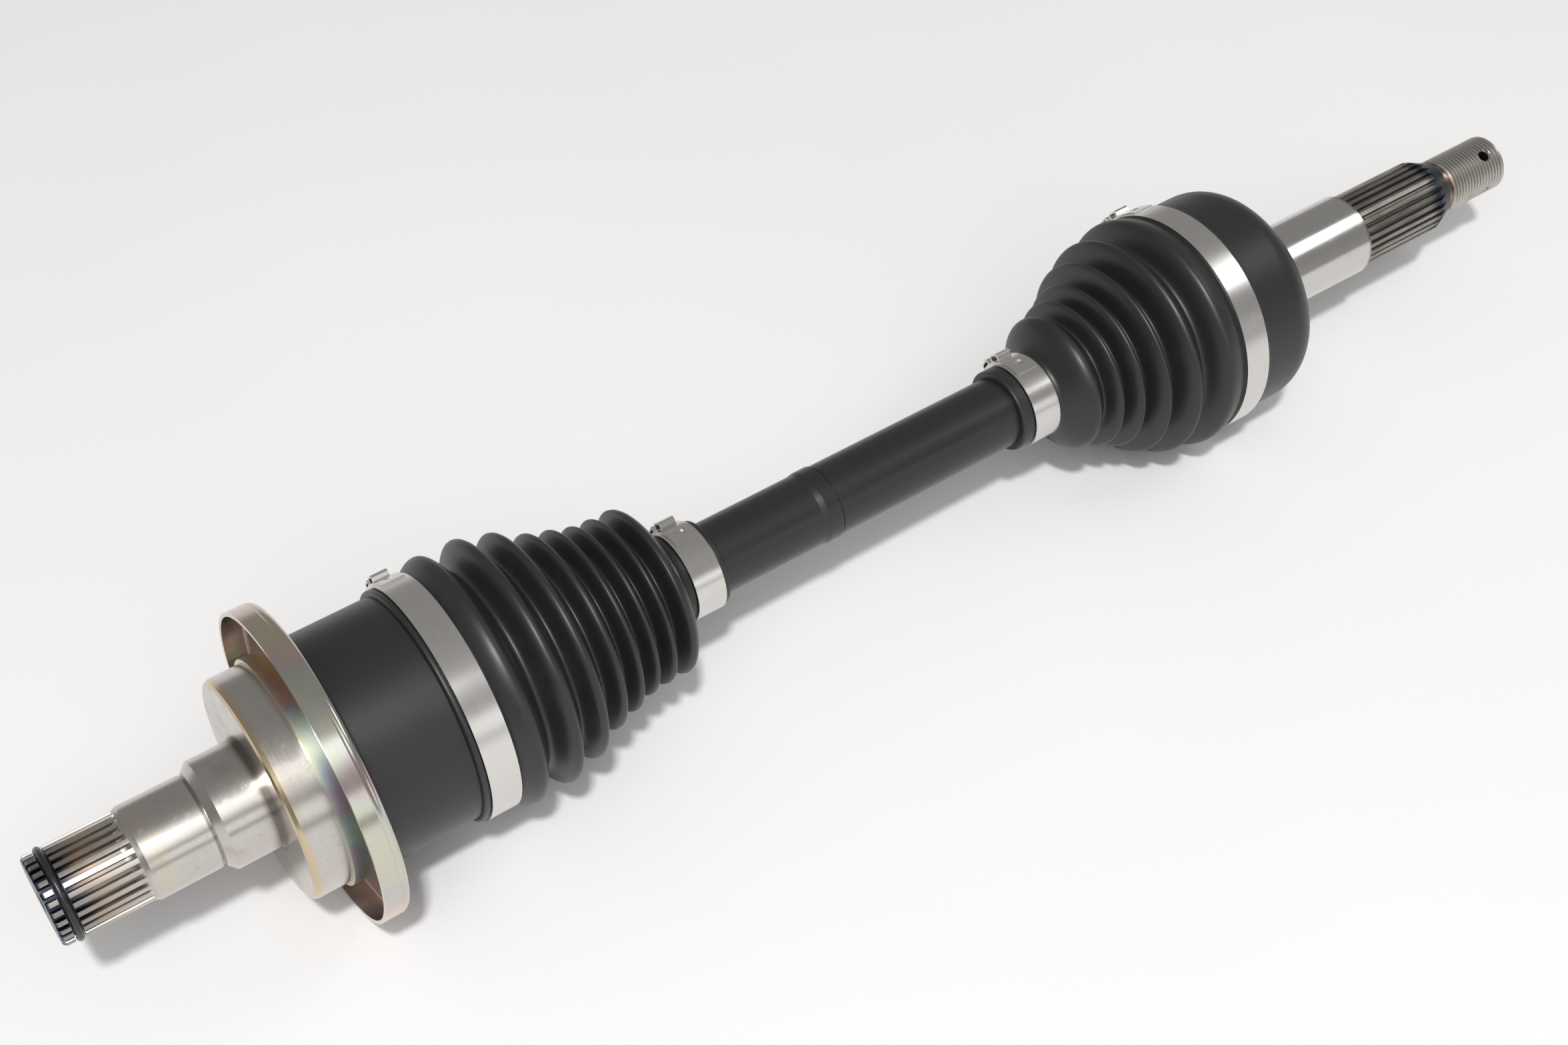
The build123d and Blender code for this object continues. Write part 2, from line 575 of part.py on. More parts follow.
with BuildPart() as shaft:
    turned([
        (shaft_start_x, 0),
        (shaft_start_x, shaft_spline_radius - shaft_end_chamfer),
        (shaft_start_x + shaft_end_chamfer, shaft_spline_radius),
        (inboard_root_x, shaft_spline_radius),
        (inboard_root_x + 2 * shaft_spline_step, shaft_radius),
        (ring_x - locating_ring_ramp, shaft_radius),
        (ring_x, locating_ring_radius),
        (ring_stop_x, locating_ring_radius),
        (ring_stop_x, shaft_radius - locating_ring_relief),
        (ring_stop_x + 3 * locating_ring_relief, shaft_radius - locating_ring_relief),
        (ring_stop_x + 3 * locating_ring_relief, shaft_radius),
        (outboard_root_x - 2 * shaft_spline_step, shaft_radius),
        (outboard_root_x, shaft_spline_radius),
        (shaft_stop_x - shaft_end_chamfer, shaft_spline_radius),
        (shaft_stop_x, shaft_spline_radius - shaft_end_chamfer),
        (shaft_stop_x, 0),
    ])
    for x in circlip_places.values():
        turned([
            (x - circlip_thickness / 2 - ring_gap, circlip_seat_radius),
            (x + circlip_thickness / 2 + ring_gap, circlip_seat_radius),
            (x + circlip_thickness / 2 + ring_gap, shaft_radius),
            (x - circlip_thickness / 2 - ring_gap, shaft_radius),
        ], mode=Mode.SUBTRACT)
shaft.part.label = "shaft"
export_step(shaft.part, "parts/shaft.step")

for name, x in circlip_places.items():
    with BuildPart() as circlip:
        flat_ring(x, circlip_thickness, circlip_seat_radius + ring_gap,
                  circlip_seat_radius + ring_gap + circlip_height, circlip_gap, 0)
    circlip.part.label = name
    export_step(circlip.part, f"parts/{name}.step")

# ---------------------------------------------------------------- outboard housing
with BuildPart() as hub_spline_cut:
    spline_grooves(thread_neck_x, hub_spline_x, spline_run_out, hub_spline_radius, hub_spline_depth,
                   hub_spline_teeth)

shoulder_turn = radians(bell_shoulder_sweep)
barrel_x = outboard_x + bell_barrel_distance
shoulder_centre_radius = bell_radius - bell_shoulder_radius
shoulder_end = (barrel_x + bell_shoulder_radius * sin(shoulder_turn),
                shoulder_centre_radius + bell_shoulder_radius * cos(shoulder_turn))
bell_flare_x = bell_mouth_x + bell_mouth_chamfer
bell_flare_radius = sqrt(bell_bore_radius**2 - (bell_mouth_distance - bell_mouth_chamfer) ** 2)
bell_floor_radius = sqrt(bell_bore_radius**2 - bell_floor_distance**2)
with BuildPart() as outboard_housing:
    with BuildSketch(Plane.XY):
        with BuildLine():
            Polyline((bell_mouth_x, 0), (bell_mouth_x, bell_seat_radius - cup_edge_chamfer),
                     (bell_mouth_x + cup_edge_chamfer, bell_seat_radius),
                     (outboard_boot_x + ring_gap, bell_seat_radius),
                     (outboard_boot_x + ring_gap, bell_radius), (barrel_x, bell_radius))
            RadiusArc((barrel_x, bell_radius), shoulder_end, bell_shoulder_radius)
            Polyline(shoulder_end, (bell_face_x, bell_boss_radius + bell_boss_fillet),
                     (bell_face_x + bell_boss_fillet, bell_boss_radius),
                     (hub_journal_x - bell_boss_chamfer, bell_boss_radius),
                     (hub_journal_x, bell_boss_radius - bell_boss_chamfer),
                     (hub_journal_x, hub_journal_radius), (hub_spline_x, hub_journal_radius),
                     (hub_spline_x, hub_spline_radius), (hub_taper_x, hub_spline_radius),
                     (thread_neck_x, hub_spline_end_radius), (thread_neck_x, thread_neck_radius),
                     (thread_x, thread_neck_radius), (thread_x, thread_radius - thread_chamfer / 2),
                     (thread_x + thread_chamfer / 2, thread_radius),
                     (thread_end_x - thread_chamfer, thread_radius),
                     (thread_end_x, thread_radius - thread_chamfer), (thread_end_x, centre_hole_radius),
                     (thread_end_x - centre_hole_depth, 0), (bell_mouth_x, 0))
        make_face()
    revolve(axis=Axis.X)
    with BuildSketch(Plane.XY):
        with BuildLine():
            Polyline((bell_floor_x, 0), (bell_floor_x, bell_floor_radius))
            ThreePointArc((bell_floor_x, bell_floor_radius), (outboard_x, bell_bore_radius),
                          (bell_flare_x, bell_flare_radius))
            Polyline((bell_flare_x, bell_flare_radius),
                     (bell_mouth_x - bell_mouth_chamfer, bell_flare_radius + 2 * bell_mouth_chamfer),
                     (bell_mouth_x - bell_mouth_chamfer, 0), (bell_floor_x, 0))
        make_face()
    revolve(axis=Axis.X, mode=Mode.SUBTRACT)
    # Curved ball grooves: four that let the cage turn about Z, and the two on the Z axis.
    side_angles = [a for a in ball_angles if abs(sin(radians(a))) > 0.5]
    pole_angles = [a for a in ball_angles if abs(sin(radians(a))) < 0.5]
    groove_about_z(outboard_x, outboard_pitch_radius, outboard_ball_radius + ball_clearance,
                   outboard_swing, side_angles)
    groove_about_y(outboard_x, outboard_pitch_radius, outboard_ball_radius + ball_clearance,
                   outboard_swing, pole_angles)
    add(hub_spline_cut.part, mode=Mode.SUBTRACT)
    for turn in range(int(thread_length / thread_pitch) - 1):
        x = thread_x + (turn + 1) * thread_pitch
        turned([
            (x - 0.45 * thread_pitch, thread_radius),
            (x - 0.07 * thread_pitch, thread_neck_radius),
            (x + 0.07 * thread_pitch, thread_neck_radius),
            (x + 0.45 * thread_pitch, thread_radius),
            (x, thread_radius + thread_pitch),
        ], mode=Mode.SUBTRACT)
    pin_x = thread_end_x - pin_hole_inset
    for quarter in range(4):
        angle = radians(pin_hole_angle + 90 * quarter)
        out = (0, -sin(angle), cos(angle))
        mouth = thread_radius - pin_hole_mouth_depth
        with Locations(Plane(origin=(pin_x, 0, 0), x_dir=(1, 0, 0), z_dir=out)):
            Cylinder(pin_hole_radius, 2 * thread_radius, align=(Align.CENTER, Align.CENTER, Align.MIN),
                     mode=Mode.SUBTRACT)
        with Locations(Plane(origin=(pin_x, mouth * out[1], mouth * out[2]), x_dir=(1, 0, 0), z_dir=out)):
            Cone(pin_hole_radius, 2 * pin_hole_mouth_radius - pin_hole_radius, 2 * pin_hole_mouth_depth,
                 align=(Align.CENTER, Align.CENTER, Align.MIN), mode=Mode.SUBTRACT)
outboard_housing.part.label = "outboard_housing"
export_step(outboard_housing.part, "parts/outboard_housing.step")

# ---------------------------------------------------------------- boots
with BuildPart() as inboard_boot:
    boot(inboard_boot_x, 1, cup_seat_radius, inboard_crests, inboard_valleys, inboard_neck_station,
         inboard_small_clamp_inset, inboard_small_cuff_lip)
inboard_boot.part.label = "inboard_boot"
export_step(inboard_boot.part, "parts/inboard_boot.step")

with BuildPart() as outboard_boot:
    boot(outboard_boot_x, -1, bell_seat_radius, outboard_crests, outboard_valleys, outboard_neck_station,
         outboard_small_clamp_inset, outboard_small_cuff_lip)
outboard_boot.part.label = "outboard_boot"
export_step(outboard_boot.part, "parts/outboard_boot.step")

# ---------------------------------------------------------------- clamps
small_clamp_bore = shaft_radius + small_cuff_thickness + ring_gap
inboard_small_x = inboard_boot_x + inboard_neck_station + inboard_small_clamp_inset + ring_gap
outboard_small_x = outboard_boot_x - outboard_neck_station - outboard_small_clamp_inset - ring_gap
with BuildPart() as inboard_large_clamp:
    clamp(inboard_boot_x + cuff_lip + ring_gap, large_clamp_width,
          cup_seat_radius + cuff_thickness + ring_gap)
inboard_large_clamp.part.label = "inboard_large_clamp"
export_step(inboard_large_clamp.part, "parts/inboard_large_clamp.step")

with BuildPart() as inboard_small_clamp:
    clamp(inboard_small_x, small_clamp_width, small_clamp_bore)
inboard_small_clamp.part.label = "inboard_small_clamp"
export_step(inboard_small_clamp.part, "parts/inboard_small_clamp.step")

with BuildPart() as outboard_small_clamp:
    clamp(outboard_small_x - small_clamp_width, small_clamp_width, small_clamp_bore)
outboard_small_clamp.part.label = "outboard_small_clamp"
export_step(outboard_small_clamp.part, "parts/outboard_small_clamp.step")

with BuildPart() as outboard_large_clamp:
    clamp(outboard_boot_x - cuff_lip - ring_gap - large_clamp_width, large_clamp_width,
          bell_seat_radius + cuff_thickness + ring_gap)
outboard_large_clamp.part.label = "outboard_large_clamp"
export_step(outboard_large_clamp.part, "parts/outboard_large_clamp.step")
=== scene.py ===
import math

import bmesh
import bpy
import numpy as np
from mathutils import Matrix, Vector


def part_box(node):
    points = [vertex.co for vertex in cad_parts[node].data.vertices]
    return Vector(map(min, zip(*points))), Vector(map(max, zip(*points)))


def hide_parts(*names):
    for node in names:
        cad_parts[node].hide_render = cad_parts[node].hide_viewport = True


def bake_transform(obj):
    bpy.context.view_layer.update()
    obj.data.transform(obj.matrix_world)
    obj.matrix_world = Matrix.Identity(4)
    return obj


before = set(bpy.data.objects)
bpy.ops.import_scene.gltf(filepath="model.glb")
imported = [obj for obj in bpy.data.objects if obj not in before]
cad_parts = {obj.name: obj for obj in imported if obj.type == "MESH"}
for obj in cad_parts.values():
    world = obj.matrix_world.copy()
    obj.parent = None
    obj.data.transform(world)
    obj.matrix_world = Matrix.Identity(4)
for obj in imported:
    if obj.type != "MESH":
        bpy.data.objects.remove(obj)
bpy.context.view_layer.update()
MM = 0.001

# ------------------------------------------------------------------ places taken from the frame
deflector_low, deflector_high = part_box("dust_deflector")
inboard_boot_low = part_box("inboard_boot")[0]
outboard_boot_low, outboard_boot_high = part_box("outboard_boot")
tip_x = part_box("inboard_housing")[0].x
end_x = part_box("outboard_housing")[1].x
shoulder_x = deflector_high.x

# ------------------------------------------------------------------ sizes in millimetres
SEAL_JOURNAL = 27.2        # tip to where each band starts, along the inboard housing
BEARING_JOURNAL = 46.2
BOSS = 62.4
HUB_JOURNAL = 112.2        # thread's end back to where each band starts, along the outboard housing
HUB_SPLINE = 73.4
HUB_TAPER = 36.2
THREAD_NECK = 29.2
THREAD = 26.6
CAVITY_FLOOR = 122.3       # thread's end back to the flat bottom of the bell's cavity
CUP_SEAT = 34.438
BELL_SEAT = 36.544
SHAFT = 11.75
RIM = 48.5                 # dust deflector
CAVITY = 33.2              # every surface nearer to the axis than this is inside a joint


# ------------------------------------------------------------------ material helpers
class Paint:
    """Builds one node material. Lengths are in metres, in the piece's own coordinates, X along the axle."""

    def __init__(self, name):
        self.material = bpy.data.materials.new(name)
        self.material.use_nodes = True
        self.tree = self.material.node_tree
        self.shader = self.tree.nodes["Principled BSDF"]
        place = self.add("ShaderNodeTexCoord").outputs["Object"]
        self.place = place
        split = self.add("ShaderNodeSeparateXYZ", Vector=place)
        self.x, self.y, self.z = split.outputs
        self.radius = self.math("SQRT", self.math("ADD", self.math("POWER", self.y, 2.0),
                                                  self.math("POWER", self.z, 2.0)))
        self.angle = self.math("ARCTAN2", self.y, self.z)

    def add(self, kind, **inputs):
        """Adds a node and sets or links its inputs by name."""
        node = self.tree.nodes.new(kind)
        for name, value in inputs.items():
            self.feed(node.inputs[name.replace("_", " ")], value)
        return node

    def feed(self, socket, value):
        if isinstance(value, bpy.types.NodeSocket):
            self.tree.links.new(value, socket)
        else:
            socket.default_value = value

    def math(self, operation, a, b=0.0, c=0.0):
        node = self.tree.nodes.new("ShaderNodeMath")
        node.operation = operation
        for socket, value in zip(node.inputs, (a, b, c)):
            self.feed(socket, value)
        return node.outputs[0]

    def noise(self, size, detail=4.0, roughness=0.55, stretch=None, seed=0.0):
        """Noise from 0 to 1 with features of about `size` metres. `stretch` replaces the coordinates."""
        node = self.add("ShaderNodeTexNoise", Vector=stretch or self.place, Scale=1.0 / size,
                        Detail=detail, Roughness=roughness)
        node.noise_dimensions = "4D"
        node.inputs["W"].default_value = seed
        return node.outputs["Fac"]

    def lathe_lines(self, pitch, length, seed=0.0):
        """Fine lines that run round the axle, `pitch` metres apart and about `length` metres long."""
        turn = self.math("MULTIPLY", self.angle, pitch * 0.02 / length)
        node = self.add("ShaderNodeCombineXYZ", X=self.x, Y=self.radius, Z=turn)
        return self.noise(pitch, detail=3.0, roughness=0.7, stretch=node.outputs[0], seed=seed)

    def scratches(self, width, length, seed=0.0):
        """Fine streaks along the axle, `width` metres wide and about `length` metres long."""
        along = self.math("MULTIPLY", self.x, width / length)
        node = self.add("ShaderNodeCombineXYZ", X=along, Y=self.y, Z=self.z)
        return self.noise(width, detail=3.0, roughness=0.6, stretch=node.outputs[0], seed=seed)

    def between(self, value, low, high):
        """0 below low, 1 above high, smooth in between. With low above high it falls instead."""
        node = self.add("ShaderNodeMapRange")
        node.interpolation_type = "SMOOTHSTEP"
        falls = low > high
        self.feed(node.inputs["Value"], value)
        node.inputs["From Min"].default_value = min(low, high)
        node.inputs["From Max"].default_value = max(low, high)
        node.inputs["To Min"].default_value = 1.0 if falls else 0.0
        node.inputs["To Max"].default_value = 0.0 if falls else 1.0
        return node.outputs[0]

    def ring(self, value, middle, half):
        """1 at the middle, falling to 0 at `half` each side."""
        away = self.math("ABSOLUTE", self.math("SUBTRACT", value, middle))
        return self.between(away, half, 0.0)

    def mix(self, share, a, b):
        """A colour that goes from a to b."""
        node = self.tree.nodes.new("ShaderNodeMix")
        node.data_type = "RGBA"
        node.clamp_factor = True
        self.feed(node.inputs[0], share)
        self.feed(node.inputs[6], self.colour(a))
        self.feed(node.inputs[7], self.colour(b))
        return node.outputs[2]

    def blend(self, share, a, b):
        """A number that goes from a to b."""
        span = self.math("SUBTRACT", b, a)
        return self.math("MULTIPLY_ADD", share, span, a)

    @staticmethod
    def colour(value):
        if isinstance(value, tuple):
            return (*value, 1.0)
        return value

    def ramp(self, value, *stops):
        """A colour ramp with (place, colour) stops."""
        node = self.add("ShaderNodeValToRGB", Fac=value)
        elements = node.color_ramp.elements
        while len(elements) < len(stops):
            elements.new(0.5)
        for element, (place, colour) in zip(elements, stops):
            element.position = place
            element.color = (*colour, 1.0)
        return node.outputs["Color"]

    def specks(self, cell, size, share, seed=0.0):
        """Sparse round dust specks, `size` metres across, in about `share` of cells `cell` metres wide."""
        node = self.tree.nodes.new("ShaderNodeTexVoronoi")
        node.voronoi_dimensions = "4D"
        self.feed(node.inputs["Vector"], self.place)
        node.inputs["W"].default_value = seed
        node.inputs["Scale"].default_value = 1.0 / cell
        pick = self.add("ShaderNodeSeparateColor", Color=node.outputs["Color"])
        chosen = self.math("LESS_THAN", pick.outputs[0], share)
        near = self.between(node.outputs["Distance"], size / cell, 0.5 * size / cell)
        return self.math("MULTIPLY", chosen, near)

    def bump(self, height, distance, strength=1.0, normal=None):
        node = self.add("ShaderNodeBump", Height=height, Distance=distance, Strength=strength)
        if normal is not None:
            self.feed(node.inputs["Normal"], normal)
        return node.outputs["Normal"]

    def finish(self, colour, rough, metal=0.0, normal=None, **fixed):
        """Wires the shader. `fixed` holds the uniform values of other sockets."""
        self.feed(self.shader.inputs["Base Color"], self.colour(colour))
        self.feed(self.shader.inputs["Roughness"], rough)
        self.feed(self.shader.inputs["Metallic"], metal)
        if normal is not None:
            self.feed(self.shader.inputs["Normal"], normal)
        for name, value in fixed.items():
            self.shader.inputs[name.replace("_", " ")].default_value = value
        return self.material


STEEL = (0.56, 0.53, 0.495)
WORN_STEEL = (0.40, 0.355, 0.31)
STRAW = (0.66, 0.55, 0.36)
BROWN = (0.20, 0.115, 0.065)
BLUE_BLACK = (0.028, 0.034, 0.048)
# painted shade for the insides of grooves and holes
RECESS_SHADE = (0.05, 0.043, 0.038)
BLACK = (0.0125, 0.0125, 0.0135)
DUST = (0.42, 0.41, 0.39)


def satin_black(p, seed):
    """Colour, roughness and height of satin black paint with a fine peel, faint rubs and dust."""
    cloud = p.noise(0.05, detail=3.0, seed=seed)
    grain = p.noise(0.0007, detail=2.0, seed=seed + 1)
    dust = p.specks(0.010, 0.00036, 0.30, seed=seed + 2)
    colour = p.mix(cloud, BLACK, (0.0165, 0.0165, 0.018))
    colour = p.mix(p.math("MULTIPLY", dust, 0.55), colour, DUST)
    rough = p.blend(cloud, 0.33, 0.40)
    rough = p.math("ADD", rough, p.math("MULTIPLY", grain, 0.06))
    return colour, rough, grain


def turned_steel(p, seed):
    """Colour, roughness and height of turned and ground steel with faint storage stains."""
    lines = p.lathe_lines(0.00030, 0.10, seed=seed)
    broad = p.lathe_lines(0.0021, 0.20, seed=seed + 1)
    cloud = p.noise(0.012, detail=5.0, roughness=0.62, seed=seed + 2)
    stain = p.between(cloud, 0.50, 0.72)
    colour = p.mix(p.math("MULTIPLY", lines, 0.40), STEEL, (0.47, 0.45, 0.42))
    colour = p.mix(p.math("MULTIPLY", broad, 0.30), colour, (0.63, 0.605, 0.57))
    colour = p.mix(p.math("MULTIPLY", stain, 0.65), colour, WORN_STEEL)
    scratch = p.scratches(0.00035, 0.007, seed=seed + 3)
    handled = p.between(p.noise(0.009, seed=seed + 4), 0.48, 0.62)
    scuffed = p.math("MULTIPLY", p.between(scratch, 0.60, 0.70), handled)
    colour = p.mix(p.math("MULTIPLY", scuffed, 0.55), colour, (0.74, 0.72, 0.69))
    blotch = p.between(p.noise(0.0035, detail=6.0, roughness=0.7, seed=seed + 5), 0.54, 0.70)
    colour = p.mix(p.math("MULTIPLY", blotch, 0.35), colour, (0.33, 0.27, 0.215))
    rough = p.blend(lines, 0.17, 0.27)
    rough = p.math("ADD", rough, p.math("MULTIPLY", p.math("MAXIMUM", stain, blotch), 0.08))
    return colour, rough, lines


def inboard_housing_paint():
    p = Paint("inboard_housing_finish")
    steel, steel_rough, lines = turned_steel(p, 3.0)
    black, black_rough, grain = satin_black(p, 11.0)
    from_tip = p.math("SUBTRACT", p.x, tip_x)
    wobble = p.math("MULTIPLY", p.math("SUBTRACT", p.noise(0.006, seed=5.0), 0.5), 0.006)
    along = p.math("ADD", from_tip, wobble)

    # Spline: painted shade darkens the grooves, and the hardened tip is blue-black
    # except where its crests have rubbed bright
    on_spline = p.between(from_tip, SEAL_JOURNAL * MM, (SEAL_JOURNAL - 1.5) * MM)
    groove = p.math("MULTIPLY", on_spline, p.between(p.radius, 13.28 * MM, 12.75 * MM))
    crest = p.math("SUBTRACT", 1.0, groove)
    tip_tint = p.between(along, 15.0 * MM, 5.0 * MM)
    steel = p.mix(p.math("MULTIPLY", on_spline, 0.35), steel, (0.42, 0.385, 0.35))
    # painted shade: the spline grooves darkened towards dark brown
    steel = p.mix(p.math("MULTIPLY", groove, 0.72), steel, (0.17, 0.145, 0.125))
    warm = p.math("MULTIPLY", p.ring(along, 13.0 * MM, 8.0 * MM), 0.5)
    steel = p.mix(warm, steel, (0.36, 0.27, 0.20))
    dark = p.math("MULTIPLY", tip_tint, p.blend(crest, 1.0, 0.45))
    steel = p.mix(dark, steel, BLUE_BLACK)
    face = p.between(from_tip, 0.9 * MM, 0.1 * MM)
    steel = p.mix(p.math("MULTIPLY", face, 0.85), steel, (0.045, 0.06, 0.085))

    # Journals and boss: straw where the boss meets its edge, painted shade in the corner behind it
    neck = p.math("MULTIPLY", p.ring(from_tip, (SEAL_JOURNAL + 3.0) * MM, 3.5 * MM), 0.30)
    steel = p.mix(neck, steel, STRAW)
    # painted shade: dark brown in the inside corner at the foot of the boss
    corner = p.math("MULTIPLY", p.ring(from_tip, (BOSS - 0.6) * MM, 2.2 * MM),
                    p.between(p.radius, 19.5 * MM, 16.8 * MM))
    steel = p.mix(p.math("MULTIPLY", corner, 0.75), steel, (0.10, 0.075, 0.06))
    # painted shade in the relief groove of the bearing journal
    relief = p.ring(from_tip, (BEARING_JOURNAL - 0.5) * MM, 0.9 * MM)
    steel = p.mix(p.math("MULTIPLY", relief, 0.6), steel, RECESS_SHADE)
    edge = p.math("MULTIPLY", p.between(p.radius, 31.6 * MM, 33.3 * MM),
                  p.between(from_tip, (BOSS + 3.2) * MM, (BOSS + 0.4) * MM))
    steel = p.mix(p.math("MULTIPLY", edge, 0.75), steel, (0.62, 0.47, 0.25))
    on_face = p.math("MULTIPLY", p.between(p.radius, 17.5 * MM, 20.0 * MM),
                     p.between(from_tip, (BOSS + 0.5) * MM, (BOSS + 0.1) * MM))
    blotch = p.between(p.noise(0.009, detail=6.0, seed=21.0), 0.45, 0.70)
    steel = p.mix(p.math("MULTIPLY", on_face, p.blend(blotch, 0.22, 0.62)), steel, (0.36, 0.30, 0.24))

    # Barrel: black paint outside, bare greased steel inside
    painted = p.math("MULTIPLY", p.math("GREATER_THAN", p.x, shoulder_x - 0.02 * MM),
                     p.math("GREATER_THAN", p.radius, CAVITY * MM))
    colour = p.mix(painted, steel, black)
    bare_rough = p.math("ADD", steel_rough, p.math("MULTIPLY", on_spline, 0.10))
    rough = p.blend(painted, bare_rough, black_rough)
    metal = p.math("SUBTRACT", 1.0, painted)
    height = p.blend(painted, p.math("MULTIPLY", lines, 0.06), grain)
    return p.finish(colour, rough, metal, p.bump(height, 0.00002, 0.6), Specular_IOR_Level=0.5)


def outboard_housing_paint():
    p = Paint("outboard_housing_finish")
    steel, steel_rough, lines = turned_steel(p, 31.0)
    black, black_rough, grain = satin_black(p, 41.0)
    back = p.math("SUBTRACT", end_x, p.x)
    wobble = p.math("MULTIPLY", p.math("SUBTRACT", p.noise(0.006, seed=35.0), 0.5), 0.007)
    along = p.math("ADD", back, wobble)

    # Journal: polished, with a brown line where the spline's run-out starts
    on_journal = p.between(back, (HUB_SPLINE - 0.1) * MM, (HUB_SPLINE + 0.4) * MM)
    polish = p.math("MULTIPLY", on_journal, 0.8)
    steel = p.mix(polish, steel, (0.64, 0.63, 0.615))
    line = p.ring(back, (HUB_SPLINE + 0.2) * MM, 1.2 * MM)
    steel = p.mix(p.math("MULTIPLY", line, 0.55), steel, (0.22, 0.17, 0.13))

    # Spline: brown-grey, with painted shade in the grooves, blued towards its ends
    on_spline = p.math("MULTIPLY", p.between(back, HUB_SPLINE * MM, (HUB_SPLINE - 0.5) * MM),
                       p.between(back, (THREAD_NECK - 0.1) * MM, THREAD_NECK * MM))
    groove = p.math("MULTIPLY", on_spline, p.between(p.radius, 13.05 * MM, 12.5 * MM))
    steel = p.mix(p.math("MULTIPLY", on_spline, 0.70), steel, (0.25, 0.235, 0.215))
    mottle = p.between(p.scratches(0.0011, 0.012, seed=37.0), 0.42, 0.62)
    steel = p.mix(p.math("MULTIPLY", on_spline, p.math("MULTIPLY", mottle, 0.60)), steel, (0.15, 0.135, 0.12))
    # painted shade in the spline grooves
    steel = p.mix(p.math("MULTIPLY", groove, 0.75), steel, (0.10, 0.088, 0.076))
    blue = p.math("MULTIPLY", p.between(along, (HUB_TAPER + 5.5) * MM, (HUB_TAPER + 0.5) * MM),
                  p.between(back, (THREAD_NECK - 0.1) * MM, THREAD_NECK * MM))
    steel = p.mix(p.math("MULTIPLY", blue, 0.86), steel, (0.024, 0.036, 0.052))
    start = p.math("MULTIPLY", p.ring(along, (HUB_SPLINE - 6.0) * MM, 7.0 * MM), on_spline)
    steel = p.mix(p.math("MULTIPLY", start, 0.35), steel, (0.16, 0.13, 0.11))

    # Neck and thread: rust in the neck, painted shade in the thread roots and the cotter hole, brighter end
    rust = p.ring(along, (THREAD + 1.2) * MM, 2.6 * MM)
    steel = p.mix(p.math("MULTIPLY", rust, 0.85), steel, BROWN)
    on_thread = p.between(back, THREAD * MM, (THREAD - 0.3) * MM)
    # painted shade in the thread roots
    root = p.math("MULTIPLY", on_thread, p.between(p.radius, 9.85 * MM, 9.25 * MM))
    steel = p.mix(p.math("MULTIPLY", root, 0.55), steel, (0.13, 0.115, 0.10))
    # painted shade inside the cotter hole
    hole = p.math("MULTIPLY", p.between(back, 11.0 * MM, 10.0 * MM), p.between(p.radius, 8.4 * MM, 6.0 * MM))
    steel = p.mix(p.math("MULTIPLY", hole, 0.7), steel, RECESS_SHADE)

    outside = p.math("MAXIMUM", p.math("GREATER_THAN", p.radius, CAVITY * MM),
                     p.math("LESS_THAN", back, (CAVITY_FLOOR - 0.6) * MM))
    painted = p.math("MULTIPLY", outside, p.math("GREATER_THAN", back, (HUB_JOURNAL + 0.03) * MM))
    colour = p.mix(painted, steel, black)
    worn = p.math("ADD", p.math("MULTIPLY", on_spline, 0.16), p.math("MULTIPLY", on_thread, 0.14))
    bare_rough = p.blend(on_journal, p.math("ADD", steel_rough, worn),
                         p.math("MULTIPLY", steel_rough, 0.80))
    rough = p.blend(painted, bare_rough, black_rough)
    metal = p.math("SUBTRACT", 1.0, painted)
    height = p.blend(painted, p.math("MULTIPLY", lines, p.blend(on_journal, 0.06, 0.005)), grain)
    return p.finish(colour, rough, metal, p.bump(height, 0.00002, 0.6), Specular_IOR_Level=0.5)


def shaft_paint():
    p = Paint("shaft_finish")
    black, rough, grain = satin_black(p, 51.0)
    rub = p.lathe_lines(0.0009, 0.004, seed=52.0)
    rubbed = p.math("MULTIPLY", p.between(rub, 0.66, 0.80), 0.20)
    black = p.mix(rubbed, black, (0.045, 0.045, 0.046))
    bare = p.math("LESS_THAN", p.radius, (SHAFT - 0.4) * MM)
    colour = p.mix(bare, black, WORN_STEEL)
    rough = p.math("SUBTRACT", rough, 0.05)
    return p.finish(colour, rough, bare, p.bump(grain, 0.00002, 0.5), Specular_IOR_Level=0.5)


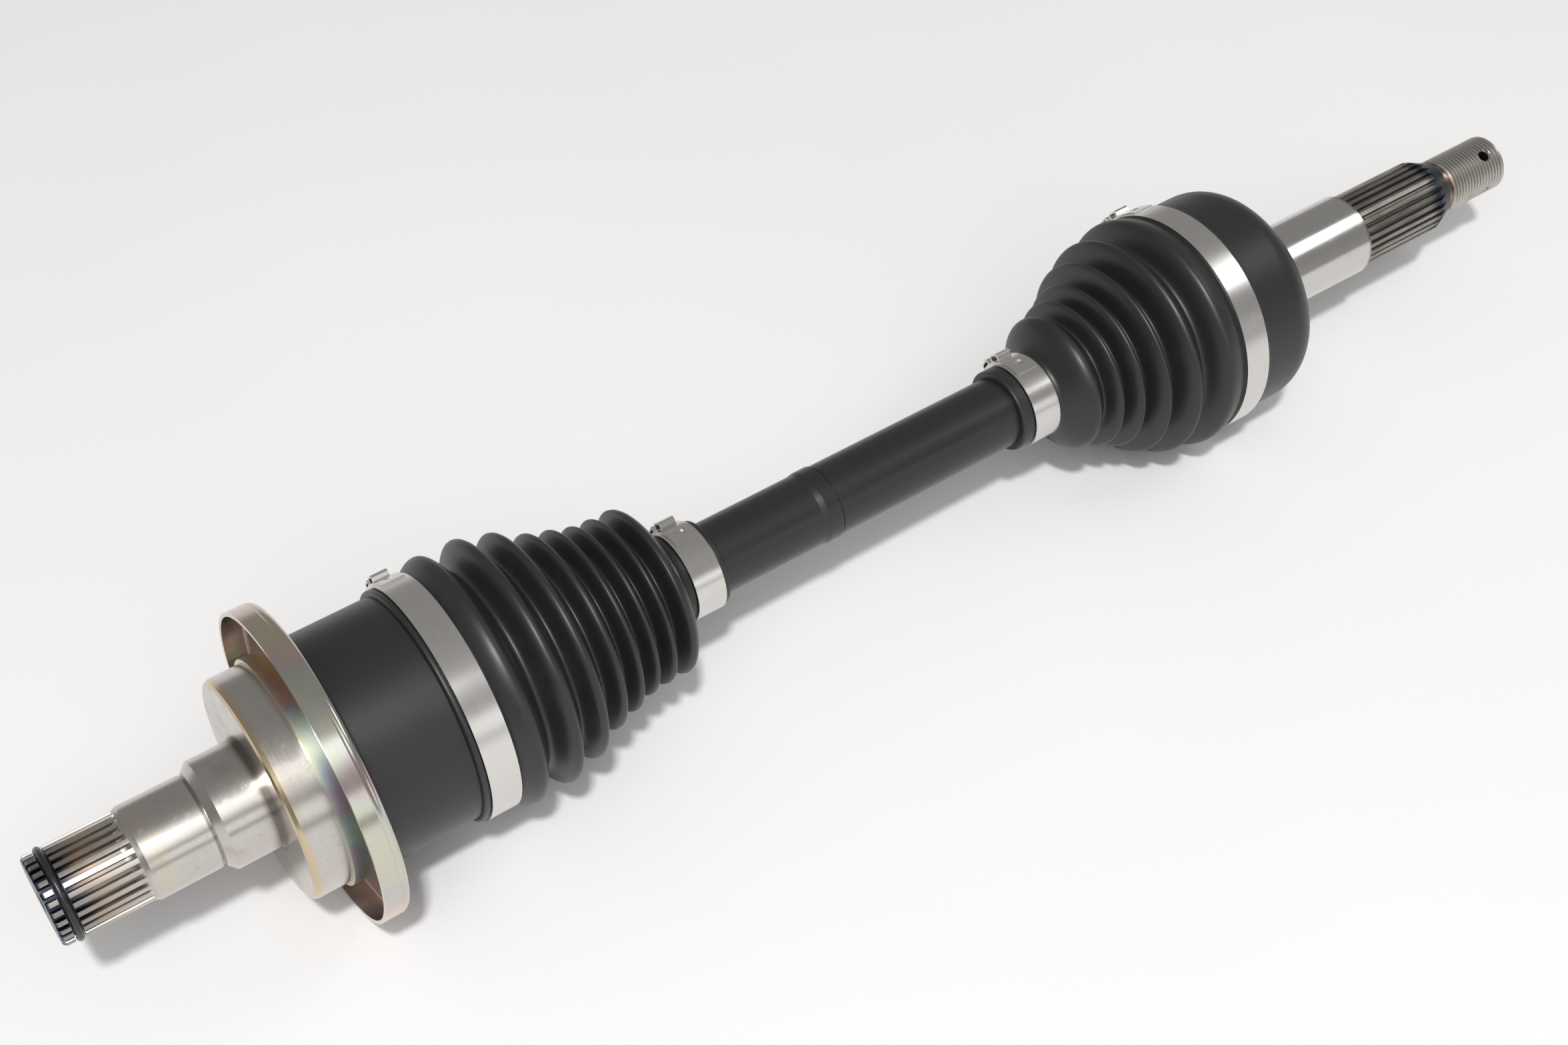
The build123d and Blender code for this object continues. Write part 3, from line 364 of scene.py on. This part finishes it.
def deflector_paint():
    """Yellow passivated zinc: straw, with pink, green and violet bands that follow the pressing."""
    p = Paint("yellow_zinc_finish")
    drift = p.noise(0.026, detail=3.0, seed=61.0)
    fine = p.noise(0.004, detail=4.0, seed=62.0)
    swing = p.math("SINE", p.math("MULTIPLY", p.angle, 2.0))
    sweep = p.math("ADD", p.math("MULTIPLY", drift, 1.1), p.math("MULTIPLY", swing, 0.12))
    sweep = p.math("ADD", sweep, p.math("MULTIPLY", fine, 0.12))
    film = p.ramp(sweep,
                  (0.22, (0.60, 0.52, 0.40)), (0.36, (0.66, 0.60, 0.49)), (0.48, (0.50, 0.58, 0.47)),
                  (0.55, (0.40, 0.53, 0.56)), (0.62, (0.50, 0.38, 0.52)), (0.70, (0.62, 0.40, 0.38)),
                  (0.80, (0.64, 0.54, 0.36)))
    plain = p.mix(drift, (0.68, 0.63, 0.53), (0.64, 0.56, 0.47))
    collar = p.between(p.radius, 37.5 * MM, 36.0 * MM)
    inside = p.between(p.radius, (RIM - 0.3) * MM, (RIM - 1.0) * MM)
    strength = p.math("MAXIMUM", p.math("MULTIPLY", collar, 0.95), p.math("MULTIPLY", inside, 0.75))
    colour = p.mix(p.math("MAXIMUM", strength, 0.45), plain, film)
    brush = p.lathe_lines(0.0004, 0.10, seed=63.0)
    colour = p.mix(p.math("MULTIPLY", brush, 0.25), colour, (0.46, 0.41, 0.33))
    rim = p.between(p.x, deflector_low.x + 0.6 * MM, deflector_low.x)
    colour = p.mix(p.math("MULTIPLY", rim, 0.4), colour, (0.70, 0.60, 0.34))
    rough = p.math("ADD", p.blend(brush, 0.14, 0.24), p.math("MULTIPLY", collar, 0.14))
    return p.finish(colour, rough, 1.0, p.bump(brush, 0.000002, 0.4))


def clamp_paint():
    p = Paint("stainless_band_finish")
    brush = p.lathe_lines(0.00022, 0.20, seed=71.0)
    cloud = p.noise(0.010, detail=4.0, seed=72.0)
    smear = p.between(p.noise(0.005, detail=5.0, seed=73.0), 0.55, 0.70)
    colour = p.mix(p.math("MULTIPLY", brush, 0.35), (0.70, 0.685, 0.66), (0.60, 0.585, 0.56))
    colour = p.mix(p.math("MULTIPLY", p.between(cloud, 0.50, 0.72), 0.12), colour, (0.56, 0.53, 0.49))
    rough = p.blend(brush, 0.20, 0.27)
    rough = p.math("ADD", rough, p.math("MULTIPLY", smear, 0.03))
    tangent = p.tree.nodes.new("ShaderNodeTangent")
    tangent.direction_type = "RADIAL"
    tangent.axis = "X"
    p.feed(p.shader.inputs["Tangent"], tangent.outputs[0])
    return p.finish(colour, rough, 1.0, p.bump(brush, 0.000002, 0.4), Anisotropic=0.4)


def rubber_paint():
    """Moulded rubber with a faint bloom, moulding marks round the folds, and dust."""
    p = Paint("boot_rubber_finish")
    cloud = p.noise(0.035, detail=4.0, seed=81.0)
    bloom = p.between(p.noise(0.012, detail=6.0, roughness=0.65, seed=82.0), 0.50, 0.78)
    grain = p.noise(0.00055, detail=2.0, seed=83.0)
    flow = p.lathe_lines(0.0012, 0.03, seed=84.0)
    fine_dust = p.specks(0.008, 0.00034, 0.34, seed=85.0)
    dust = p.math("MAXIMUM", fine_dust, p.specks(0.019, 0.00055, 0.35, seed=86.0))
    colour = p.mix(cloud, (0.0105, 0.0108, 0.0112), (0.0155, 0.0158, 0.016))
    colour = p.mix(p.math("MULTIPLY", bloom, 0.35), colour, (0.026, 0.0265, 0.027))
    colour = p.mix(p.math("MULTIPLY", dust, 0.75), colour, DUST)
    rough = p.blend(bloom, 0.37, 0.50)
    rough = p.math("ADD", rough, p.math("MULTIPLY", flow, 0.07))
    height = p.math("ADD", grain, p.math("MULTIPLY", flow, 0.5))
    return p.finish(colour, rough, 0.0, p.bump(height, 0.00003, 0.6), Specular_IOR_Level=0.55)


def wire_paint():
    p = Paint("black_wire_finish")
    wear = p.noise(0.0015, detail=3.0, seed=91.0)
    colour = p.mix(p.between(wear, 0.5, 0.8), (0.012, 0.012, 0.012), (0.05, 0.047, 0.043))
    return p.finish(colour, p.blend(wear, 0.25, 0.42), 0.0, p.bump(wear, 0.00002, 0.5))


def hidden_steel_paint(name, colour, rough, seed, grease=0.25):
    """Steel inside the joints, with patches of grease."""
    p = Paint(name)
    lines = p.lathe_lines(0.0004, 0.02, seed=seed)
    patch = p.between(p.noise(0.008, detail=4.0, seed=seed + 1), 0.45, 0.65)
    tone = p.mix(p.math("MULTIPLY", lines, 0.4), colour, tuple(0.75 * c for c in colour))
    tone = p.mix(p.math("MULTIPLY", patch, grease), tone, (0.10, 0.075, 0.04))
    return p.finish(tone, p.blend(lines, rough, rough + 0.12), 1.0, p.bump(lines, 0.00001, 0.4))


def floor_paint():
    p = Paint("pale_floor_finish")
    cloud = p.noise(0.25, detail=3.0, seed=95.0)
    weave = p.noise(0.0012, detail=2.0, seed=96.0)
    colour = p.mix(cloud, (0.80, 0.797, 0.80), (0.855, 0.852, 0.855))
    return p.finish(colour, 0.75, 0.0, p.bump(weave, 0.00012, 0.5))


# ------------------------------------------------------------------ the CAD nodes' materials
rubber = rubber_paint()
finishes = {
    "inboard_housing": inboard_housing_paint(),
    "outboard_housing": outboard_housing_paint(),
    "shaft": shaft_paint(),
    "dust_deflector": deflector_paint(),
    "inboard_stop_ring": wire_paint(),
}
band = clamp_paint()
for name in ("inboard_large_clamp", "inboard_small_clamp", "outboard_small_clamp", "outboard_large_clamp"):
    finishes[name] = band
spring = hidden_steel_paint("spring_steel_finish", (0.30, 0.30, 0.31), 0.28, 101.0)
race = hidden_steel_paint("race_finish", (0.50, 0.49, 0.48), 0.20, 103.0)
cage = hidden_steel_paint("cage_finish", (0.24, 0.235, 0.23), 0.34, 105.0)
ball = hidden_steel_paint("ball_finish", (0.74, 0.74, 0.75), 0.07, 107.0, grease=0.12)
for name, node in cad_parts.items():
    if name in finishes:
        finish = finishes[name]
    elif "boot" in name:
        finish = rubber
    elif "circlip" in name or "retaining" in name:
        finish = spring
    elif "race" in name:
        finish = race
    elif "cage" in name:
        finish = cage
    else:
        finish = ball
    node.data.materials.clear()
    node.data.materials.append(finish)


# ------------------------------------------------------------------ boots
# Stations are millimetres from the large cuff's open end, heights are over the large cuff's seat.
WALL = 1.3
CUFF = 1.9
LIP = 2.0
LARGE_CLAMP = 9.4
SMALL_CLAMP = 9.8
SMALL_CUFF = 1.65
GAP = 0.05
BEAD = 0.45                # how far a lip's bead stands above the rubber under its clamp
SIDES = 224
CREST_LEAN = 0.48          # how long a fold stays level at its crest, as a share of its flank
VALLEY_LEAN = 0.36
NECK_LEAN = 0.25
START_LEAN = 0.12          # where the first fold leaves the large clamp
FLANK_STEPS = 12
SHARP = math.radians(50)   # edges that turn more than this stay crisp


def flank(a, b, lean_a, lean_b, steps):
    """Points from a towards b along a curve that is level at both ends; b itself is left out."""
    run = b[0] - a[0]
    handles = (a, (a[0] + lean_a * run, a[1]), (b[0] - lean_b * run, b[1]), b)
    points = []
    for i in range(steps):
        t = i / steps
        shares = ((1 - t) ** 3, 3 * t * (1 - t) ** 2, 3 * t * t * (1 - t), t ** 3)
        points.append(tuple(sum(s * h[k] for s, h in zip(shares, handles)) for k in (0, 1)))
    return points


def rounded(corner, start, end, steps=6):
    """Points of an elliptic corner from start to end."""
    points = []
    for i in range(steps + 1):
        t = math.pi / 2 * i / steps
        points.append(tuple(start[k] + (corner[k] - start[k]) * math.sin(t)
                            + (end[k] - corner[k]) * (1 - math.cos(t)) for k in (0, 1)))
    return points


def boot_skin(seat, crests, valleys, neck, inset, lip, steps):
    """The boot's outer line from its open end to its small end, as (station, radius) points."""
    under = seat + CUFF
    start = LIP + LARGE_CLAMP + 2 * GAP
    bead = under + BEAD
    skin = rounded((0, bead), (0, seat + 0.8), (0.8, bead))
    skin += rounded((LIP, bead), (LIP - 0.6, bead), (LIP, under))
    skin += [(start - 0.1, under)]
    waves = sorted([(*crest, CREST_LEAN) for crest in crests]
                   + [(*valley, VALLEY_LEAN) for valley in valleys])
    marks = [(start, under, START_LEAN)] + [(s, seat + h, lean) for s, h, lean in waves]
    small = SHAFT + SMALL_CUFF
    marks += [(neck, small + BEAD, NECK_LEAN)]
    for a, b in zip(marks, marks[1:]):
        skin += flank(a[:2], b[:2], a[2], b[2], steps)
    first = neck + inset
    last = first + SMALL_CLAMP + 2 * GAP
    skin += rounded((first, small + BEAD), (first - 0.4, small + BEAD), (first, small))
    skin += [(last, small)]
    skin += rounded((last, small + BEAD), (last, small + 0.02), (last + 0.4, small + BEAD))
    skin += rounded((last + lip, small + BEAD), (last + lip - 0.7, small + BEAD), (last + lip, small - 0.3))
    return skin


def lining(skin, seat, neck):
    """The line a wall's thickness in from a skin, but never nearer the axis than what the boot sits on."""
    line = np.array(skin)
    along = np.gradient(line, axis=0)
    along /= np.linalg.norm(along, axis=1)[:, None]
    inner = line - WALL * np.column_stack((-along[:, 1], along[:, 0]))
    cuff = LIP + LARGE_CLAMP
    points = []
    for (s, r), (outer_s, _) in zip(inner, skin):
        if outer_s <= cuff + 1:
            points.append((outer_s, seat + GAP))
        elif outer_s >= neck:
            points.append((outer_s, SHAFT + GAP))
        else:
            points.append((s, max(r, SHAFT + GAP)))
    return points


def lathe(name, outline, material):
    """Turns a closed outline of (x, radius) in metres into a mesh, smooth except at its corners."""
    count = len(outline)
    angles = [2 * math.pi * i / SIDES for i in range(SIDES)]
    vertices = [(x, r * math.sin(a), r * math.cos(a)) for a in angles for x, r in outline]
    faces = []
    for i in range(SIDES):
        this = i * count
        after = (i + 1) % SIDES * count
        for k in range(count):
            beyond = (k + 1) % count
            faces.append((this + k, this + beyond, after + beyond, after + k))
    mesh = bpy.data.meshes.new(name)
    mesh.from_pydata(vertices, [], faces)
    mesh.materials.append(material)
    piece = bpy.data.objects.new(name, mesh)
    bpy.context.scene.collection.objects.link(piece)
    work = bmesh.new()
    work.from_mesh(mesh)
    bmesh.ops.recalc_face_normals(work, faces=work.faces)
    for face in work.faces:
        face.smooth = True
    for edge in work.edges:
        if len(edge.link_faces) == 2 and edge.calc_face_angle() > SHARP:
            edge.smooth = False
    work.to_mesh(mesh)
    work.free()
    return piece


def make_boot(name, open_x, toward, seat, folds, neck, inset, lip, splits):
    """Makes a boot as one length for each joint that it crosses. `splits` are stations between the lengths."""
    skin = boot_skin(seat, *folds, neck, inset, lip, FLANK_STEPS)
    inside = lining(skin, seat, neck)
    cuts = [0]
    for station in splits:
        cuts.append(min(range(len(skin)), key=lambda i: abs(skin[i][0] - station)))
    cuts.append(len(skin) - 1)
    for k, (first, last) in enumerate(zip(cuts, cuts[1:])):
        outline = skin[first:last + 1] + inside[first:last + 1][::-1]
        outline = [(open_x + toward * station * MM, radius * MM) for station, radius in outline]
        piece = lathe(f"{name}_{k + 1}", outline, rubber)
        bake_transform(piece)
        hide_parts(name)


INBOARD_FOLDS = (
    [(17.5, 5.2), (29.8, 4.9), (40.0, 2.2), (49.3, -2.4),
     (56.5, -4.6), (63.2, -6.6), (69.5, -7.2), (76.3, -7.3)],
    [(23.6, -1.9), (35.0, -3.6), (45.0, -7.6), (53.2, -10.0), (60.1, -12.0), (66.6, -13.2), (73.1, -13.7)],
)
OUTBOARD_FOLDS = (
    [(18.5, 3.9), (30.5, 1.4), (39.5, -2.7), (46.2, -7.7), (52.5, -10.8), (60.2, -13.3)],
    [(24.6, -4.0), (35.4, -7.9), (43.0, -11.6), (49.4, -14.8), (55.6, -16.8)],
)
make_boot("inboard_boot", inboard_boot_low.x, 1, CUP_SEAT, INBOARD_FOLDS, neck=84.0, inset=2.0, lip=2.0,
          splits=(26.7, 38.5))
make_boot("outboard_boot", outboard_boot_high.x, -1, BELL_SEAT, OUTBOARD_FOLDS, neck=68.4, inset=1.0, lip=4.5,
          splits=(30.5,))

# ------------------------------------------------------------------ floor, light and camera
LIP_FOOT = 4.5 * MM        # the lip meets the floor this far from the deflector's middle, towards the gearbox
FLOOR_GAP = 0.0002
FLOOR = 8.0                # half the floor's side
rim_x = (deflector_low.x + deflector_high.x) / 2 - LIP_FOOT
rim_z = deflector_low.z
belly_x = outboard_boot_high.x - OUTBOARD_FOLDS[0][0][0] * MM
belly_z = outboard_boot_low.z
slope = (belly_z - rim_z) / (belly_x - rim_x)
tilt = math.atan(slope)
mesh = bpy.data.meshes.new("floor")
corners = [(-FLOOR, -FLOOR, 0), (FLOOR, -FLOOR, 0), (FLOOR, FLOOR, 0), (-FLOOR, FLOOR, 0)]
mesh.from_pydata(corners, [], [(0, 1, 2, 3)])
floor = bpy.data.objects.new("floor", mesh)
bpy.context.scene.collection.objects.link(floor)
floor.rotation_euler = (0, -tilt, 0)
floor.location = (0, 0, rim_z - slope * rim_x - FLOOR_GAP)
mesh.materials.append(floor_paint())


def soft_light(name, at, size, power, colour=(1, 1, 1)):
    """A rectangular soft light at a place, facing the origin."""
    data = bpy.data.lights.new(name, "AREA")
    data.shape = "RECTANGLE"
    data.size, data.size_y = size
    data.energy = power
    data.color = colour
    light = bpy.data.objects.new(name, data)
    bpy.context.scene.collection.objects.link(light)
    light.location = at
    light.rotation_euler = (-Vector(at)).to_track_quat("-Z", "Y").to_euler()


# The key light stands over the camera, a broad bounce hangs round it, and the room behind is dim
KEY = Vector((-0.2745, -0.3912, 0.8785))
soft_light("key", 2.6 * KEY, (0.17, 0.17), 43.0, (1.0, 0.995, 0.985))
soft_light("bounce", 2.2 * Vector((-0.34, -0.55, 0.76)), (2.2, 1.4), 15.5)
soft_light("hub_bounce", (1.45, -0.52, 1.55), (0.9, 0.35), 4.0)
soft_light("front", (0.3, -2.2, 0.6), (2.4, 0.7), 5.0)

world = bpy.data.worlds.new("studio")
bpy.context.scene.world = world
world.use_nodes = True
room = world.node_tree.nodes["Background"]
room.inputs["Color"].default_value = (1.0, 0.985, 0.97, 1.0)
room.inputs["Strength"].default_value = 0.31

AZIMUTH = math.radians(-35.07)
ELEVATION = math.radians(47.06)
DISTANCE = 0.6603
LENS = 49.18
SENSOR = 36.0
target = Vector((-0.0367, -0.0004, 0.0))
away = Vector((math.cos(ELEVATION) * math.sin(AZIMUTH), -math.cos(ELEVATION) * math.cos(AZIMUTH),
               math.sin(ELEVATION)))
lens = bpy.data.cameras.new("camera")
lens.lens = LENS
lens.sensor_width = SENSOR
lens.clip_start = 0.01
camera = bpy.data.objects.new("camera", lens)
bpy.context.scene.collection.objects.link(camera)
camera.location = target + DISTANCE * away
camera.rotation_euler = (-away).to_track_quat("-Z", "Y").to_euler()
bpy.context.scene.camera = camera
bpy.context.scene.view_settings.view_transform = "Standard"
